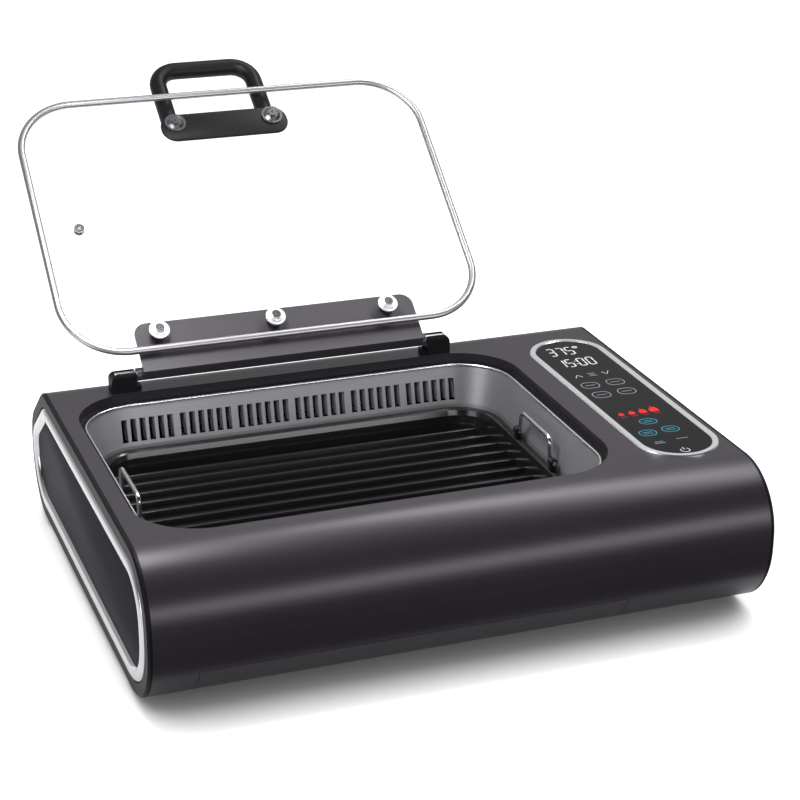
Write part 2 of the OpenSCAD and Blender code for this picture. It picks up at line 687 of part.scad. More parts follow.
module lid_handle() on_lid() color("#1b1b1d") difference() {
    half = handle_span / 2;
    union() {
        translate([opening_x, handle_s, bar_z]) rotate([-handle_tilt, 0, 0])
            bent_bar([[-half, 0, 0], [-half, handle_reach, 20], [half, handle_reach, 20], [half, 0, 0]], bar_r);
        at_handle_screws() translate([0, 0, 2]) cylinder(h = glass_out - 3, r = bar_r + 1);
    }
    at_handle_screws() translate([0, 0, 5]) cylinder(h = 20, r = 2.5);
}

module handle_gaskets() on_lid() color("#2a2a2c") at_handle_screws() washer(glass_out - 1, 1, 8, 2.5 + fit);

module handle_strip() on_lid() color("#1b1b1d") difference() {
    slab(rectangle(handle_span + 30, 30, 14, opening_x, handle_s), glass_in, 2.5);
    at_handle_screws() cylinder(h = 40, r = 2.5 + fit);
}

module handle_washers() on_lid() color("#6d6e70") at_handle_screws() translate([0, 0, glass_in + 2.5])
    difference() {
        union() {
            cylinder(h = 1.4, r = 10.5);
            translate([0, 0, 1]) cylinder(h = 2.4, r1 = 9, r2 = 5.5);
        }
        translate([0, 0, -1]) cylinder(h = 6, r = 2.5 + fit);
    }

module handle_screws() on_lid() color("#8d8e91") at_handle_screws() {
    translate([0, 0, 6]) cylinder(h = glass_in, r = 2.5 - fit / 2);
    translate([0, 0, glass_in + 5.9]) difference() {
        cylinder(h = 2, r = 4);
        translate([0, 0, 1]) cylinder(h = 2, r = 1.6, $fn = 6);
    }
}

// ---------- Drip tray ----------

module drip_tray() placed() color("#2b2a2d") {
    far = opening_rear - 30;
    intersection() {
        wrap(housing_w);
        tray_window(tray_gap);
    }
    intersection() {
        difference() {
            box([opening_x - tray_half, front_y + 10, tray_z], [opening_x + tray_half, far, tray_z + tray_h]);
            box([opening_x - tray_half + 1.5, front_y + 50, tray_z + 1.5],
                [opening_x + tray_half - 1.5, far - 1.5, tray_z + tray_h + 1]);
            box([opening_x - tray_half - 1, front_y - 1, tray_z + 1.5],
                [opening_x + tray_half + 1, front_y + 48.5, tray_z + tray_h + 1]);
        }
        along_x() slab(shrink(body_path, 1), -half_w, housing_w);
    }
}

// ---------- Basket ----------

basket_top = plate_seat - slip;
bail_w = 66;
eye_y = bail_w / 2 + 6.5;
eye_z = plate_bottom - 5.5;
basket_eye_in = sheet + 5.5;
basket_half = opening_w / 2 - basket_in;

module basket_slots() {
    bay = 46;
    web = 6;
    bays = floor((opening_w - 2 * opening_r + 24) / (bay + web));
    rows = floor((basket_top - basket_z - 14) / 7);
    for (b = [0 : bays - 1], r = [0 : rows - 1]) {
        x = opening_x + (b - (bays - 1) / 2) * (bay + web);
        z = basket_z + 8 + r * 7;
        box([x - bay / 2, opening_y - body_d, z], [x + bay / 2, opening_y + body_d, z + louvre_h]);
    }
}

module crisper_basket() placed() color("#27313b") difference() {
    union() {
        difference() {
            sweep(basket_path) polygon([
                [-4, basket_z], [-4 - sheet, basket_z + sheet], [-sheet, basket_z + 5], [-sheet, basket_top - 4],
                [-sheet, basket_top], [1.6, basket_top], [2, basket_top - 0.4], [2, basket_top - 2.6],
                [1.6, basket_top - 3], [0, basket_top - 3], [0, basket_z + 4]
            ]);
            basket_slots();
        }
        difference() {
            slab(shrink(basket_path, 3.9), basket_z, sheet);
            // Slots of the turbine pattern
            translate([opening_x, opening_y, basket_z - 1]) for (ring = [0, 1, 2], a = [0 : 11])
                rotate(a * 30 + ring * 11) translate([24 + ring * 32, 0, 0]) rotate(38)
                    linear_extrude(4) filled(rectangle(15, 3.4, 1.6));
        }
        // Pressed ribs that curl out from the middle
        translate([opening_x, opening_y, basket_z + sheet - 0.1]) for (a = [0 : 11]) rotate(a * 30)
            translate([50, 0, 0]) rotate(112) rotate_extrude(angle = 92) translate([52, 0])
                polygon([[-2.6, 0], [-1.2, 1.3], [1.2, 1.3], [2.6, 0]]);
    }
    for (side = [-1, 1], y = [-1, 1])
        rod_x(opening_x + side * basket_half - 4, opening_x + side * basket_half + 4,
            opening_y + y * eye_y, eye_z + 6, 2 + fit);
}

module basket_lugs() placed() color("#c3c4c6") for (side = [-1, 1], y = [-1, 1])
    translate([opening_x, opening_y, 0]) mirror([side > 0 ? 0 : 1, 0, 0]) mirror([0, y > 0 ? 0 : 1, 0]) basket_lug();

// Strap riveted to the end wall, with the knuckle that holds the bail's wire
module basket_lug() {
    face = basket_half - sheet;
    difference() {
        union() {
            box([face - 1.5, eye_y - 4, eye_z - 4], [face, eye_y + 4, eye_z + 11]);
            box([face - 5.5, eye_y - 3, eye_z - 4], [face - 1, eye_y + 3, eye_z + 4]);
            rod_y(eye_y - 3, eye_y + 3, basket_half - basket_eye_in, eye_z, 4);
        }
        rod_y(eye_y - 5, eye_y + 5, basket_half - basket_eye_in, eye_z, wire_r + fit);
    }
    rod_x(face - 1, face + sheet + 0.1, eye_y, eye_z + 6, 2);
    rod_x(face + sheet, face + sheet + 0.9, eye_y, eye_z + 6, 3.6);
}

// A bail in the end view: its ends run out through the knuckles, and its bar is rise above them
module bail_wire(rise) {
    path = [
        [-eye_y - 4.5, 0, 0], [-bail_w / 2, 0, 2.5], [-bail_w / 2, rise, 8],
        [bail_w / 2, rise, 8], [bail_w / 2, 0, 2.5], [eye_y + 4.5, 0, 0]
    ];
    along_x() bent_bar(path, wire_r);
}

module basket_bail(side) placed() color("#c9cacc")
    translate([opening_x + side * (basket_half - basket_eye_in), opening_y, eye_z])
        bail_wire(basket_z + sheet + wire_r + 0.8 - eye_z);

module basket_bail_left() basket_bail(-1);
module basket_bail_right() basket_bail(1);

// ---------- Grill plate ----------

plate_half = opening_w / 2 - plate_in;
plate_wall = plate_wall_in - plate_in;
plate_eye_z = plate_z + 8;
plate_eye_x = plate_half - 4.5;
ridge_pitch = (opening_d - 2 * plate_in - 2 * plate_wall - 12) / ridge_count;

module ridges() intersection() {
    translate([opening_x - plate_half, opening_y, plate_bottom + plate_floor - 0.5]) rotate([90, 0, 90])
        linear_extrude(2 * plate_half) for (i = [0 : ridge_count - 1])
            translate([(i - (ridge_count - 1) / 2) * ridge_pitch, 0])
                polygon([[-3.6, 0], [-2, ridge_h], [-1.2, ridge_h + 0.5], [1.2, ridge_h + 0.5], [2, ridge_h], [3.6, 0]]);
    slab(shrink(plate_path, plate_wall + 2.5), plate_bottom, plate_deep);
}

module grill_plate() placed() color("#141416") difference() {
    union() {
        sweep(plate_path) polygon([
            [0, plate_seat], [0, plate_z - 2.6], [-0.9, plate_z - 0.8], [-2.6, plate_z], [-6, plate_z],
            [-7.8, plate_z - 1.2], [-plate_wall - 2.5, plate_seat], [-plate_wall - 4, plate_bottom + plate_floor],
            [-plate_wall - 5, plate_bottom + plate_floor], [-plate_wall - 5, plate_bottom],
            [-plate_wall - 2, plate_bottom], [-plate_wall, plate_bottom + 2], [-plate_wall, plate_seat]
        ]);
        slab(shrink(plate_path, plate_wall + 4.5), plate_bottom, plate_floor);
        ridges();
        for (side = [-1, 1], y = [-1, 1])
            translate([opening_x + side * plate_eye_x, opening_y + y * eye_y, 0]) plate_lug();
    }
    for (c = [-2 : 2], r = [0 : ridge_count - 4]) {
        x = opening_x + c * 45 - (r - (ridge_count - 4) / 2) * 1.6;
        y = opening_y + (r - (ridge_count - 4) / 2) * ridge_pitch;
        translate([x, y, plate_bottom - 1]) cylinder(h = plate_floor + 2, r = drain_r);
    }
}

module plate_lug() difference() {
    union() {
        box([-2.5, -3, plate_z - 2], [2.5, 3, plate_eye_z]);
        rod_y(-3, 3, 0, plate_eye_z, 3.8);
    }
    rod_y(-4, 4, 0, plate_eye_z, wire_r + fit);
}

module plate_bail(side) placed() color("#cfd0d2")
    translate([opening_x + side * plate_eye_x, opening_y, plate_eye_z]) bail_wire(21);

module plate_bail_left() plate_bail(-1);
module plate_bail_right() plate_bail(1);

// ---------- Drawing ----------

housing_shell();
left_end_cap();
right_end_cap();
left_trim_ring();
right_trim_ring();
left_side_panel();
right_side_panel();
base_pan();
rubber_feet();
base_screws();
well_liner();
reflector_pan();
heating_element();
element_clips();
temperature_probe();
heat_shield();
blower_housing();
blower_motor();
wheel_bearing();
blower_wheel();
wheel_shaft();
control_bezel();
control_glass();
display_module();
touch_board();
power_board();
board_parts();
cord_gland();
left_hinge_block();
right_hinge_block();
hinge_block_screws();
drip_tray();
lid_glass();
lid_rim();
hinge_bracket();
hinge_rod();
bracket_gaskets();
bracket_washers();
bracket_screws();
vent_grommet();
lid_handle();
handle_strip();
handle_gaskets();
handle_washers();
handle_screws();
crisper_basket();
basket_lugs();
basket_bail_left();
basket_bail_right();
grill_plate();
plate_bail_left();
plate_bail_right();
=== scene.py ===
from math import cos, radians, sin, tan, tau

import bmesh
import bpy
from mathutils import Euler, Matrix, Vector


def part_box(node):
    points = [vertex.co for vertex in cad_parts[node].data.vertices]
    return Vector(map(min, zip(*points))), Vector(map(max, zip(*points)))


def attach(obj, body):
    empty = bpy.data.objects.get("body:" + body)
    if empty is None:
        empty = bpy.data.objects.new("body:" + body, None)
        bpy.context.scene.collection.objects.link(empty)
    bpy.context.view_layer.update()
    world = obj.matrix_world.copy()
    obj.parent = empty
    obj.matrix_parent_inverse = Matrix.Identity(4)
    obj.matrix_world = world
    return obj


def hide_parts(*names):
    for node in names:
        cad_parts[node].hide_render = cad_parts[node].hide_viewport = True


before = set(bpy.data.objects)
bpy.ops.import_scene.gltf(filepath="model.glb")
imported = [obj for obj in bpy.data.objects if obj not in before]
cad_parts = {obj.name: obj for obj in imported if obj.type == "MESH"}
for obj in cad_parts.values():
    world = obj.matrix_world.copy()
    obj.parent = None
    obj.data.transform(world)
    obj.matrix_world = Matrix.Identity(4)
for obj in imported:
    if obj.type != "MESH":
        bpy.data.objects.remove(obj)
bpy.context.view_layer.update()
MM = 0.001

# ---- Camera ----
# A long lens from the front left that looks 22 degrees down on the grill.
CAMERA_AIM = (22.4, -90.33, 148.6)
AZIMUTH, ELEVATION, ROLL = -20.34, 22.05, 0.39
CAMERA_DISTANCE = 1898.3
CAMERA_LENS, SENSOR_W = 94.95, 36

turn = Euler((radians(90 - ELEVATION), 0, radians(AZIMUTH))).to_matrix()
turn = turn @ Matrix.Rotation(radians(ROLL), 3, "Z")
stand = (Vector(CAMERA_AIM) + turn @ Vector((0, 0, CAMERA_DISTANCE))) * MM
camera = bpy.data.objects.new("camera", bpy.data.cameras.new("camera"))
camera.matrix_world = Matrix.Translation(stand) @ turn.to_4x4()
camera.data.lens = CAMERA_LENS
camera.data.sensor_width = SENSOR_W
bpy.context.scene.collection.objects.link(camera)
bpy.context.scene.camera = camera


# ---- Nodes and materials ----
def linear(code):
    """An sRGB hex colour as the linear one that a shader reads."""
    shares = [int(code[i:i + 2], 16) / 255 for i in (1, 3, 5)]
    return [s / 12.92 if s <= 0.04045 else ((s + 0.055) / 1.055) ** 2.4 for s in shares] + [1]


def add(tree, kind, inputs=(), **settings):
    """Adds a node; an input is given a value or the socket that it is linked to."""
    made = tree.nodes.new(kind)
    for key, value in settings.items():
        setattr(made, key, value)
    for key, value in dict(inputs).items():
        if isinstance(value, bpy.types.NodeSocket):
            tree.links.new(value, made.inputs[key])
        else:
            made.inputs[key].default_value = value
    return made


def new_material(name):
    """An empty material and its tree."""
    made = bpy.data.materials.new(name)
    made.use_nodes = True
    made.node_tree.nodes.clear()
    return made, made.node_tree


def close_material(made, shader):
    add(made.node_tree, "ShaderNodeOutputMaterial", {"Surface": shader.outputs[0]})
    return made


def per_metre(size):
    """A pattern's scale from the size of its grains in millimetres.

    Real grains are mostly finer than these, which are drawn as coarse as they need to show.
    """
    return 1 / (size * MM)


def surface(name, colour, grain, gloss, detail=2, relief=None,
            kind="ShaderNodeTexNoise", inputs=(), **settings):
    """A material whose pattern varies its colour, its roughness or its relief.

    The colour and the roughness are each one value or the pair that the pattern blends.
    The relief is its strength and its depth in millimetres.
    """
    made, tree = new_material(name)
    place = add(tree, "ShaderNodeTexCoord").outputs["Object"]
    pattern = add(tree, kind, {"Vector": place, "Scale": per_metre(grain), "Detail": detail},
                  **settings).outputs[0]
    look = {"Roughness": gloss}
    if isinstance(colour, str):
        look["Base Color"] = linear(colour)
    else:
        look["Base Color"] = add(tree, "ShaderNodeMix", {
            "Factor": pattern, 6: linear(colour[0]), 7: linear(colour[1]),
        }, data_type="RGBA").outputs[2]
    if isinstance(gloss, tuple):
        look["Roughness"] = add(tree, "ShaderNodeMapRange", {
            "Value": pattern, 3: gloss[0], 4: gloss[1],
        }).outputs[0]
    if relief:
        look["Normal"] = add(tree, "ShaderNodeBump", {
            "Height": pattern, "Strength": relief[0], "Distance": relief[1] * MM,
        }).outputs[0]
    look.update(inputs)
    return close_material(made, add(tree, "ShaderNodeBsdfPrincipled", look))


def dress(material, *nodes):
    for node in nodes:
        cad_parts[node].data.materials.clear()
        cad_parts[node].data.materials.append(material)


# ---- Meshes ----
def mesh_object(name, bm, material):
    mesh = bpy.data.meshes.new(name)
    bm.to_mesh(mesh)
    bm.free()
    mesh.materials.append(material)
    made = bpy.data.objects.new(name, mesh)
    bpy.context.scene.collection.objects.link(made)
    return made


def level_sheet(name, material, size, at=(0, 0, 0)):
    """A flat level rectangle, with its size and its middle in metres."""
    bm = bmesh.new()
    spread = Matrix.Translation(at) @ Matrix.Diagonal((*size, 1, 1))
    bmesh.ops.create_grid(bm, x_segments=1, y_segments=1, size=0.5, matrix=spread)
    return mesh_object(name, bm, material)


def rectangle(x, y, w, d, radius):
    """The corners of a rectangle about its middle, each with its radius."""
    ways = ((1, -1), (1, 1), (-1, 1), (-1, -1))
    return [(x + right * w / 2, y + up * d / 2, radius) for right, up in ways]


def rounded(corners, inset, steps=20):
    """The points of a closed outline with rounded corners, drawn a little inside itself."""
    points = []
    for i, (x, y, radius) in enumerate(corners):
        here, last = Vector((x, y)), Vector(corners[i - 1][:2])
        following = Vector(corners[(i + 1) % len(corners)][:2])
        came, goes = (here - last).normalized(), (following - here).normalized()
        half = came.angle(goes) / 2
        centre = here + (goes - came).normalized() * radius / cos(half)
        touch = here - came * radius * tan(half)
        spoke = (touch - centre).normalized() * (radius - inset)
        way = 1 if came.cross(goes) > 0 else -1
        points += [centre + Matrix.Rotation(way * 2 * half * k / steps, 2) @ spoke
                   for k in range(steps + 1)]
    return points


def skinned(loops, ring=False):
    """Joins rows of placed points, all closed loops, into a ring or into a bar with flat ends."""
    bm = bmesh.new()
    loops = [[bm.verts.new(point) for point in loop] for loop in loops]
    for near, far in zip(loops, loops[1:] + (loops[:1] if ring else [])):
        for i in range(len(near)):
            j = (i + 1) % len(near)
            bm.faces.new((near[i], near[j], far[j], far[i]))
    if not ring:
        bm.faces.new(loops[0])
        bm.faces.new(loops[-1])
    bmesh.ops.recalc_face_normals(bm, faces=bm.faces)
    return bm


def lofted(corners, profile, lay, ring=True):
    """A ring or a plate that follows an outline, through insets and heights."""
    return skinned([[lay(point, height) for point in rounded(corners, inset)]
                    for inset, height in profile], ring)


def finished(piece, body, angle=35):
    """Smooths a piece's soft edges, then says what it rides on."""
    piece.data.polygons.foreach_set("use_smooth", [True] * len(piece.data.polygons))
    piece.data.set_sharp_from_angle(angle=radians(angle))
    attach(piece, body)
    return piece


# ---- Studio ----
# A sheet of white paper in a white room, with a lamp over the rear, one low before the front,
# one at the left and a small one for the well.
# The paper gives off its own white to the eye, so that the lamps need not bleach the grill,
# but not close round the grill, where the open share of the sky fades it to a contact shadow.
SHADOW_REACH, SHADOW_FROM, SHADOW_TO = 0.08, 0.28, 0.82
PAPER_IN_MIRRORS = 0.7


def looked_at(tree):
    """The light path, and 1 for a ray of the camera's, straight or through clear glass."""
    path = add(tree, "ShaderNodeLightPath").outputs
    rays = {0: path["Is Camera Ray"], 1: path["Is Transmission Ray"]}
    return path, add(tree, "ShaderNodeMath", rays, operation="MAXIMUM").outputs[0]


paper, tree = new_material("white_backdrop_paper")
path, looked = looked_at(tree)
seen = add(tree, "ShaderNodeMath", {0: path["Is Glossy Ray"], 1: PAPER_IN_MIRRORS, 2: looked},
           operation="MULTIPLY_ADD")
open_sky = add(tree, "ShaderNodeAmbientOcclusion", {"Distance": SHADOW_REACH}, samples=12)
fade = add(tree, "ShaderNodeMapRange", {
    "Value": open_sky.outputs["AO"], 1: SHADOW_FROM, 2: SHADOW_TO, 3: 0, 4: 1,
})
glow = add(tree, "ShaderNodeMath", {0: seen.outputs[0], 1: fade.outputs[0]}, operation="MULTIPLY")
matt = add(tree, "ShaderNodeBsdfDiffuse", {"Color": linear("#b4b4b4")})
light = add(tree, "ShaderNodeEmission", {"Color": linear("#ffffff"), "Strength": glow.outputs[0]})
close_material(paper, add(tree, "ShaderNodeAddShader", {0: matt.outputs[0], 1: light.outputs[0]}))
floor = level_sheet("floor", paper, (12, 12))

# A grey card before the grill shows only in its reflections, which keeps the front dark.
card, tree = new_material("dark_reflector_card")
close_material(card, add(tree, "ShaderNodeEmission", {
    "Color": linear("#ffffff"), "Strength": 0.06,
}))
flag = level_sheet("dark_card", card, (1.6, 1.2), (0.5, -0.94, 0.001))
for ray in ("camera", "diffuse", "transmission", "shadow", "volume_scatter"):
    setattr(flag, "visible_" + ray, False)

# The room is white to the eye, dim to matt surfaces, and in reflections dark before the grill
# and light behind it, between these two places along Y.
ROOM_FILL = 0.45
DARK_FROM, LIGHT_FROM, DARK_SIDE, LIGHT_SIDE = -0.3, 0.7, 0.03, 0.58
world = bpy.data.worlds.new("studio_room")
bpy.context.scene.world = world
world.use_nodes = True
world.node_tree.nodes.clear()
tree = world.node_tree
path, looked = looked_at(tree)
side = add(tree, "ShaderNodeSeparateXYZ", {
    0: add(tree, "ShaderNodeTexCoord").outputs["Generated"],
})
behind = add(tree, "ShaderNodeMapRange", {
    "Value": side.outputs["Y"], 1: DARK_FROM, 2: LIGHT_FROM, 3: DARK_SIDE, 4: LIGHT_SIDE,
})
mirrored = add(tree, "ShaderNodeMath", {
    0: path["Is Glossy Ray"], 1: behind.outputs[0], 2: looked,
}, operation="MULTIPLY_ADD")
room = add(tree, "ShaderNodeMath", {
    0: path["Is Diffuse Ray"], 1: ROOM_FILL, 2: mirrored.outputs[0],
}, operation="MULTIPLY_ADD")
sky = add(tree, "ShaderNodeBackground", {"Color": linear("#ffffff"), "Strength": room.outputs[0]})
add(tree, "ShaderNodeOutputWorld", {"Surface": sky.outputs[0]})

# Each lamp's size in metres, its power in watts, its place and what it is aimed at.
for name, size, power, at, aim in (
    ("rear_strip", (1.7, 0.25), 23, (0.9, 0.2, 1.64), (0.1, -0.3, 0.13)),
    ("front_strip", (2.2, 0.5), 24, (0.7, -2.2, 0.53), (0.1, -0.33, 0.08)),
    ("left_softbox", (0.9, 0.7), 7, (-1.5, -0.85, 0.4), (-0.3, -0.15, 0.08)),
    ("well_lamp", (0.3, 0.3), 7, (-0.25, -0.1, 0.75), (0.16, -0.12, 0.1)),
):
    lamp = bpy.data.lights.new(name, "AREA")
    lamp.shape = "RECTANGLE"
    lamp.size, lamp.size_y = size
    lamp.energy = power
    holder = bpy.data.objects.new(name, lamp)
    holder.location = at
    holder.rotation_euler = (Vector(aim) - Vector(at)).to_track_quat("-Z", "Y").to_euler()
    holder.visible_camera = holder.visible_transmission = False
    bpy.context.scene.collection.objects.link(holder)
bpy.context.scene.view_settings.view_transform = "Standard"

# ---- Housing ----
# One sheet of steel wrapped over the top and round the front, powder coated. The coat is
# a satin charcoal whose fine orange peel breaks up its highlights, and its tone drifts a little.
powder, tree = new_material("satin_black_powder_coat")
place = add(tree, "ShaderNodeTexCoord").outputs["Object"]
peel = add(tree, "ShaderNodeTexNoise", {"Vector": place, "Scale": per_metre(0.714), "Detail": 2})
drift = add(tree, "ShaderNodeTexNoise", {"Vector": place, "Scale": per_metre(111), "Detail": 2})
tone = add(tree, "ShaderNodeMix", {
    "Factor": drift.outputs[0], 6: linear("#1c191e"), 7: linear("#211e23"),
}, data_type="RGBA")
gloss = add(tree, "ShaderNodeMapRange", {"Value": peel.outputs[0], 3: 0.3, 4: 0.38})
bump = add(tree, "ShaderNodeBump", {
    "Height": peel.outputs[0], "Strength": 0.12, "Distance": 0.06 * MM,
})
close_material(powder, add(tree, "ShaderNodeBsdfPrincipled", {
    "Base Color": tone.outputs[2], "Roughness": gloss.outputs[0], "Normal": bump.outputs[0],
    "Specular IOR Level": 0.42, "Specular Tint": linear("#f6ecf8"),
}))
dress(powder, "housing_shell", "drip_tray")

# ---- End caps ----
# Moulded black caps, each with a bright half round ring about a plain dark grey panel.
# The caps' grain leaves them nearly matt.
moulded = surface("fine_grained_moulded_abs", "#131214", 0.455, (0.34, 0.5), detail=3,
                  relief=(0.2, 0.05), inputs={"Specular IOR Level": 0.05})
dress(moulded, "left_end_cap", "right_end_cap", "left_hinge_block", "right_hinge_block",
      "cord_gland")

# Polished metal that mirrors the room, a little softened by wear.
bright = surface("polished_aluminium_trim", "#b6b5b9", 1.67, (0.14, 0.24),
                 inputs={"Metallic": 1})

# Flat paint with hardly any mirroring, so that the panel stays an even dark grey.
grey = surface("dark_grey_painted_panel", "#29272c", 0.556, (0.4, 0.52), relief=(0.12, 0.05),
               inputs={"Specular IOR Level": 0.01})

# The ring is seated on the cap, and the panel fills it. Their outline has a slope at the rear.
RING_W, RING_H = 13, 4.5
SLOPE_RUN, SLOPE_FOOT = 58, 84
PANEL_GAP, PANEL_T, PANEL_BEVEL = 0.3, 0.9, 0.2
least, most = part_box("left_trim_ring")
back, front, low, high = most.y / MM, least.y / MM, least.z / MM, most.z / MM
SEATS = (("left", -1, most.x / MM), ("right", 1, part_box("right_trim_ring")[0].x / MM))
RING_CORNERS = ((back, low, 50), (back, SLOPE_FOOT, 30), (back - SLOPE_RUN, high, 34),
                (front, high, 44), (front, low, 54))
RING_PROFILE = [(RING_W / 2 * (1 - cos(radians(a))), RING_H * sin(radians(a)))
                for a in range(0, 181, 12)]
PANEL_PROFILE = ((RING_W + PANEL_GAP, 0), (RING_W + PANEL_GAP, PANEL_T - PANEL_BEVEL),
                 (RING_W + 2 * PANEL_GAP, PANEL_T))
for name, side, seat in SEATS:
    def on_cap(point, height):
        return Vector((seat + side * height, point[0], point[1])) * MM

    ring = mesh_object(name + "_bevelled_ring", lofted(RING_CORNERS, RING_PROFILE, on_cap), bright)
    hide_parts(name + "_trim_ring")
    finished(ring, "body", 20)

    plate = lofted(RING_CORNERS, PANEL_PROFILE, on_cap, ring=False)
    panel = mesh_object(name + "_recessed_panel", plate, grey)
    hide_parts(name + "_side_panel")
    finished(panel, "body")

# ---- Base ----
# A coated steel pan with a slightly cloudy, dull coat.
plain = surface("coated_base_sheet", ("#2f2f31", "#3a3a3c"), 16.7, 0.55, detail=3)
dress(plain, "base_pan")

# Black rubber, dull and a little dusty.
rubber = surface("moulded_rubber", ("#151516", "#212123"), 1.43, 0.75, detail=3)
dress(rubber, "rubber_feet", "bracket_gaskets", "handle_gaskets")

# Bright zinc plate with a soft haze.
zinc = surface("zinc_plated_steel", "#b9bbbd", 2.5, (0.25, 0.4), detail=3,
               inputs={"Metallic": 1})
dress(zinc, "base_screws", "hinge_block_screws", "wheel_shaft")

# ---- Well ----
# A deep drawn steel liner. Its brush strokes run level round the walls, 40 mm long, and spread
# the highlights up and down.
STROKES = (per_metre(40), per_metre(40), per_metre(0.385))
steel, tree = new_material("brushed_stainless_liner")
place = add(tree, "ShaderNodeTexCoord").outputs["Object"]
along = add(tree, "ShaderNodeMapping", {"Vector": place, "Scale": STROKES})
strokes = add(tree, "ShaderNodeTexNoise", {"Vector": along.outputs[0], "Scale": 1, "Detail": 4})
tone = add(tree, "ShaderNodeMix", {
    "Factor": strokes.outputs[0], 6: linear("#6c6c70"), 7: linear("#89898d"),
}, data_type="RGBA")
gloss = add(tree, "ShaderNodeMapRange", {"Value": strokes.outputs[0], 3: 0.42, 4: 0.58})
bump = add(tree, "ShaderNodeBump", {
    "Height": strokes.outputs[0], "Strength": 0.1, "Distance": 0.05 * MM,
})
round_z = add(tree, "ShaderNodeTangent", direction_type="RADIAL", axis="Z")
close_material(steel, add(tree, "ShaderNodeBsdfPrincipled", {
    "Base Color": tone.outputs[2], "Metallic": 0.55, "Roughness": gloss.outputs[0],
    "Normal": bump.outputs[0], "Anisotropic": 0.8, "Anisotropic Rotation": 0.25,
    "Tangent": round_z.outputs[0],
}))
dress(steel, "well_liner")


def new_tree(name, **sockets):
    """A node tree for geometry with named inputs, whose kinds follow the values given."""
    kinds = {float: "NodeSocketFloat", int: "NodeSocketInt", tuple: "NodeSocketVector"}
    tree = bpy.data.node_groups.new(name, "GeometryNodeTree")
    tree.interface.new_socket("Geometry", in_out="OUTPUT", socket_type="NodeSocketGeometry")
    tree.interface.new_socket("Drawing", in_out="INPUT", socket_type="NodeSocketGeometry")
    for key, value in sockets.items():
        kind = kinds.get(type(value), "NodeSocketMaterial")
        tree.interface.new_socket(key, in_out="INPUT", socket_type=kind)
    return tree, add(tree, "NodeGroupInput").outputs


def grown(name, tree, geometry, mesh=None, **values):
    """Ends a tree, runs it on a new object and keeps the result as a plain mesh."""
    given = tree.nodes["Group Input"].outputs
    solid = add(tree, "GeometryNodeRealizeInstances", {"Geometry": geometry})
    dressed = add(tree, "GeometryNodeSetMaterial", {
        "Geometry": solid.outputs[0], "Material": given["material"],
    })
    add(tree, "NodeGroupOutput", {0: dressed.outputs[0]})
    made = bpy.data.objects.new(name, mesh or bpy.data.meshes.new(name))
    bpy.context.scene.collection.objects.link(made)
    modifier = made.modifiers.new(name, "NODES")
    modifier.node_group = tree
    sockets = {item.name: item.identifier for item in tree.interface.items_tree
               if item.in_out == "INPUT"}
    for key, value in values.items():
        modifier[sockets[key]] = value
    bpy.context.view_layer.update()
    evaluated = made.evaluated_get(bpy.context.evaluated_depsgraph_get())
    result = bpy.data.meshes.new_from_object(evaluated)
    made.modifiers.clear()
    made.data = result
    return made


# The liner's edge is turned down in a narrow lip, inside a black band of painted shade on the shelf
# that the lid closes on.
# Insets are counted in from the opening's outline. Nothing lies quite in the shelf's plane.
BODY_D = 460
MIDDLE_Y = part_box("housing_shell")[1].y / MM - BODY_D / 2
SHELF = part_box("well_liner")[1].z / MM
WELL_X, WELL_Y, WELL_W, WELL_D, WELL_R = -45, -15, 421, 302, 58
OPENING = rectangle(WELL_X, MIDDLE_Y + WELL_Y, WELL_W, WELL_D, WELL_R)
CLEAR_OF_SHELF = SHELF + 0.02
LIP_FROM, LIP_BEND, LIP_R, LIP_TOP, LIP_END = 5.6, 6.1, 1.1, SHELF + 0.2, SHELF - 1.8
LIP_INNER_END, LIP_INNER_FOOT = 6.7, 6.4
# The band of painted shade lies between these insets, just above the shelf.
SHADE_BAND_FROM, SHADE_BAND_TO, SHADE_BAND_TOP = 0.7, 5.4, SHELF + 0.16


def upright(point, height):
    return Vector((point[0], point[1], height)) * MM


# The brightest line of the well: metal polished by its rolling.
lip = surface("polished_rolled_lip", "#e4e4e6", 4, (0.22, 0.3), inputs={"Metallic": 1})
turn_down = [(LIP_BEND + LIP_R * sin(radians(a)), LIP_TOP - LIP_R + LIP_R * cos(radians(a)))
             for a in range(0, 91, 15)]
LIP_PROFILE = [(LIP_FROM, CLEAR_OF_SHELF), (LIP_FROM, LIP_TOP), *turn_down,
               (LIP_BEND + LIP_R, LIP_END), (LIP_INNER_END, LIP_END),
               (LIP_INNER_FOOT, CLEAR_OF_SHELF)]
rolled_edge = mesh_object("liner_lip", lofted(OPENING, LIP_PROFILE, upright), lip)
finished(rolled_edge, "body", 60)

# A dull black band round the lip: painted shade for the shadowed recess between the housing's edge
# and the lip.
painted_shade = surface("black_band_painted_shade", "#0a0a0b", 1.25, (0.6, 0.75),
               inputs={"Specular IOR Level": 0.15})
SHADE_BAND_PROFILE = [(SHADE_BAND_FROM, CLEAR_OF_SHELF), (SHADE_BAND_FROM, SHADE_BAND_TOP),
                (SHADE_BAND_TO, SHADE_BAND_TOP), (SHADE_BAND_TO, CLEAR_OF_SHELF)]
strip = mesh_object("shelf_painted_shade_band", lofted(OPENING, SHADE_BAND_PROFILE, upright), painted_shade)
finished(strip, "body")

